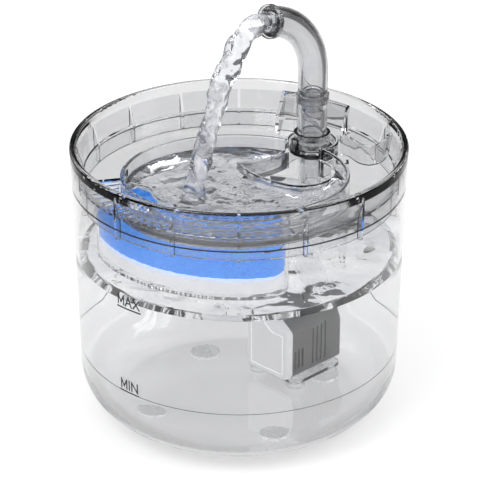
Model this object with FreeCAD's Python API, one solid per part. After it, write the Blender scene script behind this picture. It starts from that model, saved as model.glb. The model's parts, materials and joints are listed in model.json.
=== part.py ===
import FreeCAD, Part
import math
import os
from FreeCAD import Vector

# Clear round water fountain with a swivelling spout. Millimetres, +Z up.
# The origin is on the ground, on the axis of the tank. The front faces -Y.

# Tank
tank_top_r = 89.5
tank_draft = 1.5
tank_top_z = 133.5
tank_base_z = 1.5
tank_corner_r = 26.0
tank_wall = 2.4
tank_step_z = 38.0
tank_step_depth = 0.5

# Feet under the tank
foot_count = 4
foot_first_deg = 22.0
foot_ring_r = 50.0
foot_r = 8.0
foot_recess = 0.8
foot_clear = 0.15
foot_round = 0.5

# Tray: rim, skirt, ledge and spigot
rim_over = 0.5
rim_top_z = 155.0
rim_round = 1.6
spigot_gap = 2.6
ledge_z = 139.0
tray_wall = 2.0
spigot_low_z = 127.0
gusset_count = 16
gusset_thick = 1.6
gusset_clear = 0.3
gusset_bury = 0.5

# Drinking bowl
bowl_x = -2.0
bowl_y = -23.0
bowl_side_gap = 20.5
bowl_front_gap = 8.5
bowl_under_z = 129.0
bowl_corner_r = 8.0
ridge_top_z = 146.5
ridge_round = 0.8
sill_z = 139.8
window_height = 4.0
window_width = 2.6
window_first_deg = 193.0
window_last_deg = 289.0
window_step_deg = 4.0
slot_margin = 1.2

# Island and spout place
spout_x = 39.5
spout_y = 20.0
island_back_r = 14.5
island_tip = (-1.0, 4.0)
island_side = (11.0, -15.0)
island_front = (30.0, -26.0)
island_turn = (46.0, -20.0)
island_right = (51.0, -6.0)
island_flank = (15.0, 10.0)
deck_z = 140.6

# S-shaped wall, rear chamber, cable slot and guide rib of the tray
s_wall_top_z = 150.0
s_wall_points = [(54.6, 17.6), (59.0, 15.6), (64.5, 6.8), (69.5, 3.6), (75.0, 6.4), (79.0, 13.4), (82.6, 21.0)]
chamber_left_x = 20.0
chamber_right_x = 60.0
chamber_front_y = 43.0
chamber_top_z = 150.0
chamber_flare = 6.0
cable_slot_deg = 40.5
cable_slot_inset = 6.5
cable_slot_width = 5.6
cable_slot_length = 9.0
rib_x = 56.5
rib_y = 9.0
rib_low_z = 79.0
rib_width = 5.2
rib_depth = 5.6
rib_wall = 1.3

# Filter box and pads
filter_ledge_gap = 2.7
filter_half = 15.0
filter_first_deg = 204.0
filter_last_deg = 279.0
filter_low_z = 102.0
filter_wall = 1.4
filter_seat_gap = 0.3
filter_hole_r = 1.2
filter_hole_deg = 6.0
pad_clear = 0.3
cotton_thick = 8.9
foam_thick = 15.6
pad_round = 1.6

# Socket, riser and gooseneck
tube_r = 8.0
tube_bore_r = 5.6
turn_clear = 0.1
socket_r = 9.9
socket_top_z = 151.5
socket_floor_z = 143.2
flare_r = [12.2, 11.1]
flare_height = 1.4
shank_r = 6.4
shank_length = 3.6
shank_clear = 0.1
socket_spigot_r = 5.45
socket_spigot_low_z = 121.0
socket_bore_r = 3.9
key_width = 4.4
key_height = 8.6
key_depth = 2.2
key_inset = 0.6
key_deg = 30.0
riser_seat_gap = 0.3
riser_top_z = 174.0
seal_thick = 1.8
seal_depth = 1.0
seal_round = 0.3
riser_seal_z = 146.0
collar_r = 8.9
collar_height = 5.0
collar_round = 0.4
neck_length = 9.0
neck_bore_r = 4.0
spout_seal_drop = 5.0
bend_start_z = 186.0
bend_r = 36.0
bend_deg = 80.0
spout_deg = 221.3
mouth_ring_r = 9.0
mouth_ring_length = 3.2
mouth_ring_round = 0.5
nozzle_bore_r = 4.0
nozzle_proud = 2.0

# Pump: local x along its axis, local y across, z from the ground
pump_turn_deg = 45.0
pump_outlet_x = 4.0
pump_outlet_y = -9.5
pump_half_x = 21.0
pump_half_y = 15.0
pump_height = 31.0
pump_edge_r = 3.0
cover_depth = 4.5
cover_round = 1.0
cover_wall = 1.6
lip_reach = 2.0
lip_clear = 0.15
lip_wall = 1.1
lip_bury = 0.2
panel_inset = 3.0
panel_line = 0.5
panel_depth = 0.4
foam_depth = 9.5
foam_clear = 0.3
volute_plate_r = 12.4
volute_plate_thick = 2.0
volute_clear = 0.1
chamber_r = 11.0
chamber_depth = 12.0
can_r = 7.6
can_depth = 9.6
can_wall = 1.2
can_end_thick = 1.4
back_plate_thick = 2.5
back_plate_round = 0.8
housing_wall = 2.0
outlet_r = 5.5
outlet_bore_r = 3.5
outlet_height = 13.0
eye_r = 5.2
shaft_r = 1.15
bush_r = 2.3
bush_length = 2.4
bush_clear = 0.05
shaft_end_gap = 0.4
eye_hub_wall = 1.2
spoke_count = 3
spoke_width = 1.6
impeller_r = 9.4
impeller_clear = 0.7
hub_r = 3.2
blade_count = 6
blade_thick = 1.2
impeller_disc = 1.2
blade_bury = 0.6
rotor_clear = 0.5
groove_count = 4
groove_pitch = 3.2
groove_width = 1.3
groove_depth = 0.8
groove_margin = 4.0
intake_slot_count = 3
intake_slot_pitch = 2.8
intake_slot_width = 1.4
intake_slot_height = 12.0
intake_slot_rise = 5.0
core_clear = 0.4
coil_thick = 2.2
coil_inset = 1.0
gland_r = 3.2
gland_length = 4.5
gland_bore_r = 1.8
gland_flare = 0.8
gland_drop = 8.0
plate_half_x = 18.0
plate_half_y = 19.0
plate_thick = 2.0
plate_corner = 4.0
cup_r = 5.5
cup_height = 3.6
cup_neck_r = 2.4
cup_inset = 5.5
cup_lip = 1.0
cup_wall = 1.2
cup_roof = 1.6
cup_flare = 0.8
cup_bury = 0.5

# Supply tube from the pump to the socket
supply_r = 7.0
supply_clear = 0.1
supply_engage = 10.0
supply_top_gap = 0.8

# Sizes that follow from the ones above
tank_floor_z = tank_base_z + tank_wall
tank_bore_r = tank_top_r - tank_wall
tank_foot_r = tank_top_r - tank_draft
rim_r = tank_top_r + rim_over
ledge_r = tank_bore_r - spigot_gap - tray_wall
bowl_half_x = ledge_r - bowl_side_gap + bowl_x
bowl_half_y = ledge_r - bowl_front_gap + bowl_y
cable_slot_r = ledge_r - cable_slot_inset
filter_mid_r = ledge_r - filter_ledge_gap - filter_half
bowl_floor_z = bowl_under_z + tray_wall
slant = (rim_r - 2 * rim_round - ledge_r) / (rim_top_z - rim_round - ledge_z)
slant_wall = tray_wall * math.hypot(1, slant)
skirt_bore_r = tank_top_r - tray_wall
spigot_r = ledge_r + tray_wall
supply_bore_r = outlet_r + supply_clear / 2
pump_base_z = tank_floor_z + cup_height + plate_thick
pump_top_z = pump_base_z + pump_height
pump_axis_z = pump_base_z + pump_height / 2
housing_front = cover_depth - pump_half_x
partition_x = housing_front + foam_depth + 2 * foam_clear
chamber_x = partition_x + volute_plate_thick
can_x = chamber_x + chamber_depth
can_floor_x = can_x + can_depth - can_end_thick
housing_back = pump_half_x - back_plate_thick
filter_top_z = bowl_under_z - filter_seat_gap
filter_floor_z = filter_low_z + filter_wall


def point(r, z):
    return Vector(r, 0, z)


def line(a, b):
    return Part.LineSegment(a, b).toShape()


def arc(a, middle, b):
    return Part.Arc(a, middle, b).toShape()


def revolved(edges):
    """Turns a closed profile in the XZ plane a full circle about the Z axis."""
    face = Part.Face(Part.Wire(edges))
    return face.revolve(Vector(0, 0, 0), Vector(0, 0, 1), 360)


def polygon_edges(points):
    return [line(a, b) for a, b in zip(points, points[1:] + points[:1])]


def prism(points, low, high):
    """An upright prism over the plan polygon."""
    face = Part.Face(Part.Wire(polygon_edges([Vector(x, y, low) for x, y in points])))
    return face.extrude(Vector(0, 0, high - low))


def cylinder(radius, low, high, x=0.0, y=0.0):
    return Part.makeCylinder(radius, high - low, Vector(x, y, low))


def tube(outer, inner, low, high, x=0.0, y=0.0):
    return cylinder(outer, low, high, x, y).cut(cylinder(inner, low, high, x, y))


def rod(radius, start, end, y=0.0, z=0.0):
    """A cylinder along X between two x places."""
    return Part.makeCylinder(radius, end - start, Vector(start, y, z), Vector(1, 0, 0))


def box(low, high):
    size = [b - a for a, b in zip(low, high)]
    return Part.makeBox(size[0], size[1], size[2], Vector(*low))


def joined(shapes):
    """One solid from shapes that overlap."""
    result = shapes[0]
    if len(shapes) > 1:
        result = result.multiFuse(shapes[1:])
    return result.removeSplitter()


def polar(radius, degrees):
    angle = math.radians(degrees)
    return radius * math.cos(angle), radius * math.sin(angle)


def spun(shape, degrees):
    turned_copy = shape.copy()
    turned_copy.rotate(Vector(0, 0, 0), Vector(0, 0, 1), degrees)
    return turned_copy


def edges_at(shape, height, upright=False):
    """Edges that lie flat at one height, or the upright ones."""
    found = []
    for edge in shape.Edges:
        bounds = edge.BoundBox
        if upright and bounds.ZLength > 1 and bounds.XLength < 1e-6 and bounds.YLength < 1e-6:
            found.append(edge)
        if not upright and abs(bounds.ZMin - height) < 1e-5 and abs(bounds.ZMax - height) < 1e-5:
            found.append(edge)
    return found


def make_tank():
    corner = Vector(tank_foot_r - tank_corner_r, 0, tank_base_z + tank_corner_r)
    diagonal = math.sqrt(0.5)
    bend = corner + Vector(diagonal, 0, -diagonal) * tank_corner_r
    inner_r = tank_corner_r - tank_wall
    inner_bend = corner + Vector(diagonal, 0, -diagonal) * inner_r
    share = (tank_step_z - corner.z) / (tank_top_z - corner.z)
    step_r = tank_foot_r + (tank_top_r - tank_foot_r) * share - tank_wall
    outline = [
        line(point(0, tank_base_z), point(corner.x, tank_base_z)),
        arc(point(corner.x, tank_base_z), bend, point(tank_foot_r, corner.z)),
        line(point(tank_foot_r, corner.z), point(tank_top_r, tank_top_z)),
        line(point(tank_top_r, tank_top_z), point(tank_bore_r, tank_top_z)),
        line(point(tank_bore_r, tank_top_z), point(step_r + tank_step_depth, tank_step_z)),
        line(point(step_r + tank_step_depth, tank_step_z), point(tank_foot_r - tank_wall, tank_step_z)),
        line(point(tank_foot_r - tank_wall, tank_step_z), point(tank_foot_r - tank_wall, corner.z)),
        arc(point(tank_foot_r - tank_wall, corner.z), inner_bend, point(corner.x, tank_floor_z)),
        line(point(corner.x, tank_floor_z), point(0, tank_floor_z)),
        line(point(0, tank_floor_z), point(0, tank_base_z)),
    ]
    tank = revolved(outline)
    for x, y in foot_places():
        tank = tank.cut(cylinder(foot_r + foot_clear, 0, tank_base_z + foot_recess, x, y))
    return tank


def foot_places():
    step = 360 / foot_count
    return [polar(foot_ring_r, foot_first_deg + step * index) for index in range(foot_count)]


def make_feet():
    feet = []
    for x, y in foot_places():
        foot = cylinder(foot_r, 0, tank_base_z + foot_recess, x, y)
        feet.append(foot.makeFillet(foot_round, edges_at(foot, 0)))
    return Part.Compound(feet)


def ellipse_prism(half_x, half_y, low, high):
    curve = Part.Ellipse(Vector(bowl_x, bowl_y, low), half_x, half_y)
    face = Part.Face(Part.Wire([curve.toShape()]))
    return face.extrude(Vector(0, 0, high - low))


def tray_ring():
    """Skirt, rolled rim, slanted rim wall, spigot and the ledge floor as one disc."""
    under_z = ledge_z - tray_wall
    roll = Vector(rim_r - rim_round, 0, rim_top_z - rim_round)
    inner_r = rim_r - 2 * rim_round
    meet_z = ledge_z + (skirt_bore_r - ledge_r - slant_wall) / slant
    back_r = ledge_r + slant_wall
    profile = [
        line(point(0, under_z), point(ledge_r, under_z)),
        line(point(ledge_r, under_z), point(ledge_r, spigot_low_z)),
        line(point(ledge_r, spigot_low_z), point(spigot_r, spigot_low_z)),
        line(point(spigot_r, spigot_low_z), point(spigot_r, ledge_z)),
        line(point(spigot_r, ledge_z), point(back_r, ledge_z)),
        line(point(back_r, ledge_z), point(skirt_bore_r, meet_z)),
        line(point(skirt_bore_r, meet_z), point(skirt_bore_r, tank_top_z)),
        line(point(skirt_bore_r, tank_top_z), point(tank_top_r, tank_top_z)),
        line(point(tank_top_r, tank_top_z), point(rim_r, roll.z)),
        arc(point(rim_r, roll.z), roll + Vector(0, 0, rim_round), point(inner_r, roll.z)),
        line(point(inner_r, roll.z), point(ledge_r, ledge_z)),
        line(point(ledge_r, ledge_z), point(0, ledge_z)),
        line(point(0, ledge_z), point(0, under_z)),
    ]
    return revolved(profile)


def gussets():
    """Thin triangular ribs between the skirt and the slanted rim wall."""
    root_r = ledge_r + tray_wall / 2
    tip_r = tank_bore_r - gusset_clear
    buried_r = skirt_bore_r + gusset_bury
    top_z = ledge_z + (buried_r - ledge_r - slant_wall / 2) / slant
    section = [
        point(root_r, spigot_low_z),
        point(tip_r, spigot_low_z),
        point(tip_r, tank_top_z),
        point(buried_r, tank_top_z),
        point(buried_r, top_z),
        point(root_r, ledge_z),
    ]
    face = Part.Face(Part.Wire(polygon_edges(section)))
    rib = face.extrude(Vector(0, gusset_thick, 0))
    rib.translate(Vector(0, -gusset_thick / 2, 0))
    return [spun(rib, 360 / gusset_count * index) for index in range(gusset_count)]


def island_face(inset, height):
    """Plan of the island, drawn in by the inset."""
    tip, side, front = island_tip, island_side, island_front
    turn, right, flank = island_turn, island_right, island_flank
    back = (right[0], spout_y)
    inner = (spout_x - island_back_r, spout_y)
    edges = [
        arc(Vector(*tip, height), Vector(*side, height), Vector(*front, height)),
        arc(Vector(*front, height), Vector(*turn, height), Vector(*right, height)),
        line(Vector(*right, height), Vector(*back, height)),
        line(Vector(*back, height), Vector(*inner, height)),
        arc(Vector(*inner, height), Vector(*flank, height), Vector(*tip, height)),
    ]
    wire = Part.Wire(edges)
    if inset:
        wire = wire.makeOffset2D(-inset, 2, False, False)
    return Part.Face(wire)


def bowl_shell():
    """The bowl with its ridge, and the bulge behind the spout."""
    wall = tray_wall
    outer = ellipse_prism(bowl_half_x, bowl_half_y, bowl_under_z, ridge_top_z)
    bulge = cylinder(island_back_r, bowl_under_z, ridge_top_z, spout_x, spout_y)
    hollow = ellipse_prism(bowl_half_x - wall, bowl_half_y - wall, bowl_floor_z, ridge_top_z + 1)
    hollow = hollow.makeFillet(bowl_corner_r, edges_at(hollow, bowl_floor_z))
    bulge_hollow = cylinder(island_back_r - wall, bowl_floor_z, ridge_top_z + 1, spout_x, spout_y)
    shell = outer.fuse(bulge).cut(hollow.fuse(bulge_hollow)).removeSplitter()
    return shell.makeFillet(ridge_round, edges_at(shell, ridge_top_z))


def island_block():
    face = island_face(0, bowl_under_z)
    block = face.extrude(Vector(0, 0, deck_z - bowl_under_z))
    back = cylinder(island_back_r - tray_wall / 2, bowl_under_z, deck_z, spout_x, spout_y)
    inside = ellipse_prism(bowl_half_x - 1, bowl_half_y - 1, bowl_under_z, deck_z).fuse(back)
    return block.fuse(back).common(inside)


def island_hollow():
    low = bowl_under_z - 1
    face = island_face(tray_wall, low)
    hollow = face.extrude(Vector(0, 0, deck_z - tray_wall - low))
    reach = cylinder(island_back_r - tray_wall, low, deck_z - tray_wall, spout_x, spout_y)
    keep = ellipse_prism(bowl_half_x - tray_wall, bowl_half_y - tray_wall, low, deck_z)
    return hollow.common(keep).fuse(reach)


def s_wall():
    """A thin wall that runs in an S from the bulge to the rim wall."""
    middle = Part.BSplineCurve()
    middle.interpolate([Vector(x, y, ledge_z - tray_wall / 2) for x, y in s_wall_points])
    sides = []
    for offset in (tray_wall / 2, -tray_wall / 2):
        shifted = []
        for x, y in s_wall_points:
            place = middle.parameter(Vector(x, y, ledge_z - tray_wall / 2))
            along = middle.tangent(place)[0]
            shifted.append(Vector(x - along.y * offset, y + along.x * offset, ledge_z - tray_wall / 2))
        side = Part.BSplineCurve()
        side.interpolate(shifted)
        sides.append(side)
    left, right = sides
    edges = [
        left.toShape(),
        line(left.EndPoint, right.EndPoint),
        right.toShape(),
        line(right.StartPoint, left.StartPoint),
    ]
    face = Part.Face(Part.Wire(Part.__sortEdges__(edges)))
    return face.extrude(Vector(0, 0, s_wall_top_z - ledge_z + tray_wall / 2))


def rim_cone(inset, low, high):
    """The room inside the slanted rim wall, drawn in by the inset."""
    low_r = ledge_r + (low - ledge_z) * slant - inset
    high_r = ledge_r + (high - ledge_z) * slant - inset
    return Part.makeCone(low_r, high_r, high - low, Vector(0, 0, low))


def rear_chamber(inset, low, high):
    left = chamber_left_x + inset
    right = chamber_right_x - inset
    front = chamber_front_y + inset
    plan = [
        (left, front),
        (right, front),
        (right + chamber_flare, rim_r),
        (left + chamber_flare, rim_r),
    ]
    reach = inset if inset else -tray_wall / 2
    return prism(plan, low, high).common(rim_cone(reach, low, high))


def bowl_reach(degrees, wall):
    """Distance from the tank's axis to the bowl's outline along a polar angle."""
    cos_a = math.cos(math.radians(degrees))
    sin_a = math.sin(math.radians(degrees))
    half_x = bowl_half_x - wall
    half_y = bowl_half_y - wall
    a = (cos_a / half_x) ** 2 + (sin_a / half_y) ** 2
    b = -2 * (cos_a * bowl_x / half_x**2 + sin_a * bowl_y / half_y**2)
    c = (bowl_x / half_x) ** 2 + (bowl_y / half_y) ** 2 - 1
    return (-b + math.sqrt(b * b - 4 * a * c)) / (2 * a)


def drain_cuts():
    """Windows through the ridge, and the radial slots in the floor behind them."""
    count = int((window_last_deg - window_first_deg) / window_step_deg) + 1
    cuts = []
    half = window_width / 2
    for index in range(count):
        degrees = window_first_deg + window_step_deg * index
        inner = bowl_reach(degrees, tray_wall) - tray_wall
        outer = bowl_reach(degrees, 0)
        window = box((inner, -half, sill_z), (outer + tray_wall, half, sill_z + window_height))
        slot_low = ledge_z - 2 * tray_wall
        slot = box((outer + slot_margin, -half, slot_low), (ledge_r - slot_margin, half, sill_z))
        cuts.append(spun(window, degrees))
        cuts.append(spun(slot, degrees))
    return cuts


def cable_slot():
    half_w = cable_slot_width / 2
    half_l = cable_slot_length / 2
    cut = box(
        (cable_slot_r - half_w, -half_l, ledge_z - 2 * tray_wall),
        (cable_slot_r + half_w, half_l, ledge_z + tray_wall),
    )
    return spun(cut, cable_slot_deg)


def guide_rib():
    """An open channel under the ledge that leads the cable down into the water."""
    outer = box(
        (rib_x - rib_width / 2, rib_y - rib_depth / 2, rib_low_z),
        (rib_x + rib_width / 2, rib_y + rib_depth / 2, ledge_z - tray_wall / 2),
    )
    groove = box(
        (rib_x - rib_width / 2 + rib_wall, rib_y - rib_depth / 2 + rib_wall, rib_low_z),
        (rib_x + rib_width / 2 - rib_wall, rib_y + rib_depth / 2, ledge_z - tray_wall),
    )
    return outer.cut(groove)


def make_tray():
    floor_hole = ellipse_prism(bowl_half_x - 1, bowl_half_y - 1, bowl_under_z, ridge_top_z)
    bulge_hole = cylinder(island_back_r - 1, bowl_under_z, ridge_top_z, spout_x, spout_y)
    ring = tray_ring().cut(floor_hole).cut(bulge_hole)
    tray = joined([ring] + gussets())
    tray = tray.fuse(bowl_shell())
    tray = tray.fuse(s_wall().common(rim_cone(-tray_wall / 2, ledge_z - tray_wall, s_wall_top_z)))
    tray = tray.fuse(rear_chamber(0, ledge_z - tray_wall, chamber_top_z))
    tray = tray.fuse(guide_rib())
    tray = tray.fuse(island_block())
    tray = tray.cut(island_hollow())
    inner_low = ledge_z - 2 * tray_wall
    tray = tray.cut(rear_chamber(tray_wall, inner_low, chamber_top_z - tray_wall))
    tray = tray.cut(cable_slot())
    tray = tray.cut(cylinder(shank_r + shank_clear, deck_z - 2 * tray_wall, deck_z + 1, spout_x, spout_y))
    return tray.cut(Part.Compound(drain_cuts())).removeSplitter()


def crescent(half, low, high):
    """A prism that follows the tank wall and has round ends."""
    outer = filter_mid_r + half
    inner = filter_mid_r - half
    middle = (filter_first_deg + filter_last_deg) / 2
    end_turn = math.degrees(half / filter_mid_r)
    ends = (filter_first_deg, middle, filter_last_deg)
    o1, o2, o3 = [Vector(*polar(outer, degrees), low) for degrees in ends]
    i1, i2, i3 = [Vector(*polar(inner, degrees), low) for degrees in ends]
    first_cap = end_cap(filter_first_deg, -half, low)
    last_cap = end_cap(filter_last_deg, half, low)
    edges = [arc(o1, o2, o3), arc(o3, last_cap, i3), arc(i3, i2, i1), arc(i1, first_cap, o1)]
    return Part.Face(Part.Wire(edges)).extrude(Vector(0, 0, high - low))


def end_cap(degrees, offset, height):
    """The outermost point of a round end, square to the radius at its centre."""
    x, y = polar(filter_mid_r, degrees)
    angle = math.radians(degrees)
    return Vector(x - offset * math.sin(angle), y + offset * math.cos(angle), height)


def filter_fence():
    """The tall outer wall of the filter box, up to the ledge floor."""
    outer = filter_mid_r + filter_half
    high = ledge_z - tray_wall - filter_seat_gap
    ring = tube(outer, outer - filter_wall, filter_low_z, high)
    steps = [filter_first_deg, (filter_first_deg + filter_last_deg) / 2, filter_last_deg]
    plan = [(0, 0)] + [polar(2 * outer, degrees) for degrees in steps]
    return ring.common(prism(plan, filter_low_z, high))


def make_filter_box():
    shell = crescent(filter_half, filter_low_z, filter_top_z)
    hollow = crescent(filter_half - filter_wall, filter_floor_z, filter_top_z + 1)
    shell = shell.cut(hollow).fuse(filter_fence()).removeSplitter()
    holes = []
    count = int((filter_last_deg - filter_first_deg) / filter_hole_deg) + 1
    for index in range(count):
        for radius in (filter_mid_r - filter_half / 2, filter_mid_r, filter_mid_r + filter_half / 2):
            x, y = polar(radius, filter_first_deg + filter_hole_deg * index)
            holes.append(cylinder(filter_hole_r, filter_low_z - 1, filter_floor_z + 1, x, y))
    return shell.cut(Part.Compound(holes))


def make_pad(low, thick):
    pad = crescent(filter_half - filter_wall - pad_clear, low, low + thick)
    edges = edges_at(pad, low) + edges_at(pad, low + thick)
    return pad.makeFillet(pad_round, edges)


def make_socket():
    """The stepped cup that the riser plugs into, with its spigot below the deck."""
    x, y = spout_x, spout_y
    low = deck_z
    parts = []
    for radius in flare_r:
        parts.append(cylinder(radius, low, low + flare_height, x, y))
        low += flare_height
    parts.append(cylinder(socket_r, deck_z, socket_top_z, x, y))
    parts.append(cylinder(shank_r, deck_z - shank_length, deck_z + 1, x, y))
    parts.append(cylinder(socket_spigot_r, socket_spigot_low_z, deck_z, x, y))
    key = box(
        (-socket_r - key_depth, -key_width / 2, deck_z),
        (-tube_r - key_inset, key_width / 2, deck_z + key_height),
    )
    key = spun(key, key_deg)
    key.translate(Vector(x, y, 0))
    parts.append(key)
    socket = joined(parts)
    socket = socket.cut(cylinder(tube_r + turn_clear, socket_floor_z, socket_top_z + 1, x, y))
    return socket.cut(cylinder(socket_bore_r, socket_spigot_low_z - 1, socket_top_z, x, y))


def seal_ring(outer, height, x, y):
    ring = tube(outer, outer - seal_depth, height, height + seal_thick, x, y)
    return ring.makeFillet(seal_round, [e for e in ring.Edges if e.Closed])


def make_riser():
    x, y = spout_x, spout_y
    low = socket_floor_z + riser_seat_gap
    riser = tube(tube_r, tube_bore_r, low, riser_top_z, x, y)
    groove_r = tube_r + turn_clear / 2 - seal_depth
    groove = tube(tube_r + 1, groove_r, riser_seal_z, riser_seal_z + seal_thick, x, y)
    return riser.cut(groove)


def make_riser_seal():
    return seal_ring(tube_r + turn_clear / 2, riser_seal_z, spout_x, spout_y)


def make_collar():
    collar = tube(collar_r, tube_r, riser_top_z - collar_height, riser_top_z, spout_x, spout_y)
    outer_edges = [e for e in collar.Edges if e.Closed and e.BoundBox.XLength > tube_r + collar_r]
    return collar.makeFillet(collar_round, outer_edges)


def bend_frame():
    """Centre of the bend, and the plan direction that the mouth looks to."""
    dx, dy = polar(1.0, spout_deg)
    centre = Vector(spout_x + bend_r * dx, spout_y + bend_r * dy, bend_start_z)
    return centre, Vector(dx, dy, 0)


def bent_rod(radius):
    """The bend as a solid of the given radius."""
    centre, look = bend_frame()
    across = look.cross(Vector(0, 0, 1))
    disc = Part.Face(Part.Wire(Part.makeCircle(radius, Vector(spout_x, spout_y, bend_start_z))))
    return disc.revolve(centre, across * -1, bend_deg)


def mouth_frame():
    """Centre of the mouth, and the direction out of it."""
    centre, look = bend_frame()
    angle = math.radians(bend_deg)
    back = look * -math.cos(angle) + Vector(0, 0, math.sin(angle))
    out = look * math.sin(angle) + Vector(0, 0, math.cos(angle))
    return centre + back * bend_r, out


def make_gooseneck():
    x, y = spout_x, spout_y
    low = riser_top_z + riser_seat_gap
    outer = cylinder(tube_r, low, bend_start_z, x, y).fuse(bent_rod(tube_r))
    neck_low = riser_top_z - neck_length
    neck = cylinder(tube_bore_r - turn_clear, neck_low, low + tray_wall, x, y)
    bore = cylinder(tube_bore_r, low + tray_wall, bend_start_z, x, y).fuse(bent_rod(tube_bore_r))
    bore = bore.fuse(cylinder(neck_bore_r, neck_low - 1, low + 2 * tray_wall, x, y))
    seal_z = riser_top_z - spout_seal_drop
    groove_r = tube_bore_r - turn_clear / 2 - seal_depth
    groove = tube(tube_bore_r + 1, groove_r, seal_z, seal_z + seal_thick, x, y)
    return outer.fuse(neck).cut(bore).cut(groove).removeSplitter()


def make_spout_seal():
    return seal_ring(tube_bore_r - turn_clear / 2, riser_top_z - spout_seal_drop, spout_x, spout_y)


def along_mouth(outer, inner, start, end):
    """A ring on the mouth's axis between two distances from the mouth."""
    mouth, out = mouth_frame()
    place = mouth + out * start
    whole = Part.makeCylinder(outer, end - start, place, out)
    return whole.cut(Part.makeCylinder(inner, end - start, place, out))


def make_mouth_ring():
    ring = along_mouth(mouth_ring_r, tube_bore_r, 0, mouth_ring_length)
    middle_r = (mouth_ring_r + tube_bore_r) / 2
    outer_edges = [e for e in ring.Edges if e.Closed and e.Length > 2 * math.pi * middle_r]
    return ring.makeFillet(mouth_ring_round, outer_edges)


def make_nozzle():
    return along_mouth(tube_bore_r, nozzle_bore_r, 0, mouth_ring_length + nozzle_proud)


def make_supply_tube():
    low = pump_top_z + outlet_height - supply_engage
    high = deck_z - shank_length - supply_top_gap
    return tube(supply_r, supply_bore_r, low, high, spout_x, spout_y)


def placed(shape):
    """Moves a shape from the pump's own frame to its place in the tank."""
    shape = shape.copy()
    shape.translate(Vector(-pump_outlet_x, -pump_outlet_y, 0))
    shape.rotate(Vector(0, 0, 0), Vector(0, 0, 1), pump_turn_deg)
    shape.translate(Vector(spout_x, spout_y, 0))
    return shape


def pump_block(start, end, inset=0.0):
    """A length of the pump's outer block, with rounded long edges."""
    block = box(
        (start, -pump_half_y + inset, pump_base_z + inset),
        (end, pump_half_y - inset, pump_top_z - inset),
    )
    radius = max(pump_edge_r - inset, 0.8)
    long_edges = [e for e in block.Edges if e.BoundBox.XLength > (end - start) * 0.9]
    return block.makeFillet(radius, long_edges)


def make_housing():
    z = pump_axis_z
    body = pump_block(housing_front, housing_back)
    nozzle = cylinder(outlet_r, pump_top_z - 1, pump_top_z + outlet_height, pump_outlet_x, pump_outlet_y)
    body = body.fuse(nozzle)
    cuts = [
        pump_block(housing_front - 1, partition_x, housing_wall),
        rod(volute_plate_r + volute_clear, partition_x - 1, chamber_x, z=z),
        rod(chamber_r, chamber_x - 1, can_x, z=z),
        rod(can_r, can_x - 1, can_floor_x, z=z),
        rod(bush_r, can_floor_x - 1, can_floor_x + bush_length, z=z),
        cylinder(outlet_bore_r, z, pump_top_z + outlet_height + 1, pump_outlet_x, pump_outlet_y),
    ]
    pocket = pump_block(can_x + can_wall, housing_back + 1, housing_wall)
    pocket = pocket.cut(rod(can_r + can_wall, can_x, housing_back + 1, z=z))
    cuts.append(pocket)
    for index in range(groove_count):
        x = pump_outlet_x + (index - (groove_count - 1) / 2) * groove_pitch
        low = (x - groove_width / 2, -pump_half_y - 1, pump_base_z + groove_margin)
        high = (x + groove_width / 2, -pump_half_y + groove_depth, pump_top_z - groove_margin)
        cuts.append(box(low, high))
    middle_x = (housing_front + partition_x) / 2
    for index in range(intake_slot_count):
        x = middle_x + (index - (intake_slot_count - 1) / 2) * intake_slot_pitch
        low = (x - intake_slot_width / 2, -pump_half_y - 1, pump_base_z + intake_slot_rise)
        high = (x + intake_slot_width / 2, pump_half_y + 1, low[2] + intake_slot_height)
        cuts.append(box(low, high))
    for cut in cuts:
        body = body.cut(cut)
    return placed(body.removeSplitter())


def make_front_cover():
    """The white cap on the intake side, with a shallow panel line round its face."""
    cap = pump_block(-pump_half_x, housing_front)
    front_edges = [e for e in cap.Edges if abs(e.BoundBox.XMax + pump_half_x) < 1e-6]
    cap = cap.makeFillet(cover_round, front_edges)
    cap = cap.cut(pump_block(-pump_half_x + cover_wall, housing_front + 1, cover_wall))
    ring = pump_block(-pump_half_x - 1, -pump_half_x + panel_depth, panel_inset)
    ring = ring.cut(pump_block(-pump_half_x - 1, -pump_half_x + panel_depth, panel_inset + panel_line))
    cap = cap.cut(ring)
    lip_start = cover_wall - pump_half_x - lip_bury
    lip_inset = housing_wall + lip_clear
    lip_outer = pump_block(lip_start, housing_front + lip_reach, lip_inset)
    lip_inner = pump_block(-pump_half_x, housing_front + lip_reach + 1, lip_inset + lip_wall)
    return placed(cap.fuse(lip_outer.cut(lip_inner)).removeSplitter())


def make_intake_foam():
    low = housing_front + lip_reach + foam_clear
    block = pump_block(low, partition_x - foam_clear, housing_wall + foam_clear)
    return placed(block)


def make_volute_cover():
    z = pump_axis_z
    plate = rod(volute_plate_r, partition_x, chamber_x, z=z)
    plate = plate.cut(rod(eye_r, partition_x - 1, chamber_x + 1, z=z))
    hub = rod(bush_r + eye_hub_wall, partition_x, chamber_x, z=z)
    spokes = [hub]
    for index in range(spoke_count):
        spoke = box((partition_x, -spoke_width / 2, 0), (chamber_x, spoke_width / 2, eye_r + 1))
        spoke.rotate(Vector(0, 0, 0), Vector(1, 0, 0), 360 / spoke_count * index)
        spoke.translate(Vector(0, 0, z))
        spokes.append(spoke)
    plate = plate.multiFuse(spokes).removeSplitter()
    return placed(plate.cut(rod(bush_r, partition_x - 1, chamber_x + 1, z=z)))


def shaft_span():
    return partition_x + shaft_end_gap, can_floor_x + bush_length - shaft_end_gap


def make_shaft():
    start, end = shaft_span()
    return placed(rod(shaft_r, start, end, z=pump_axis_z))


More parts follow.
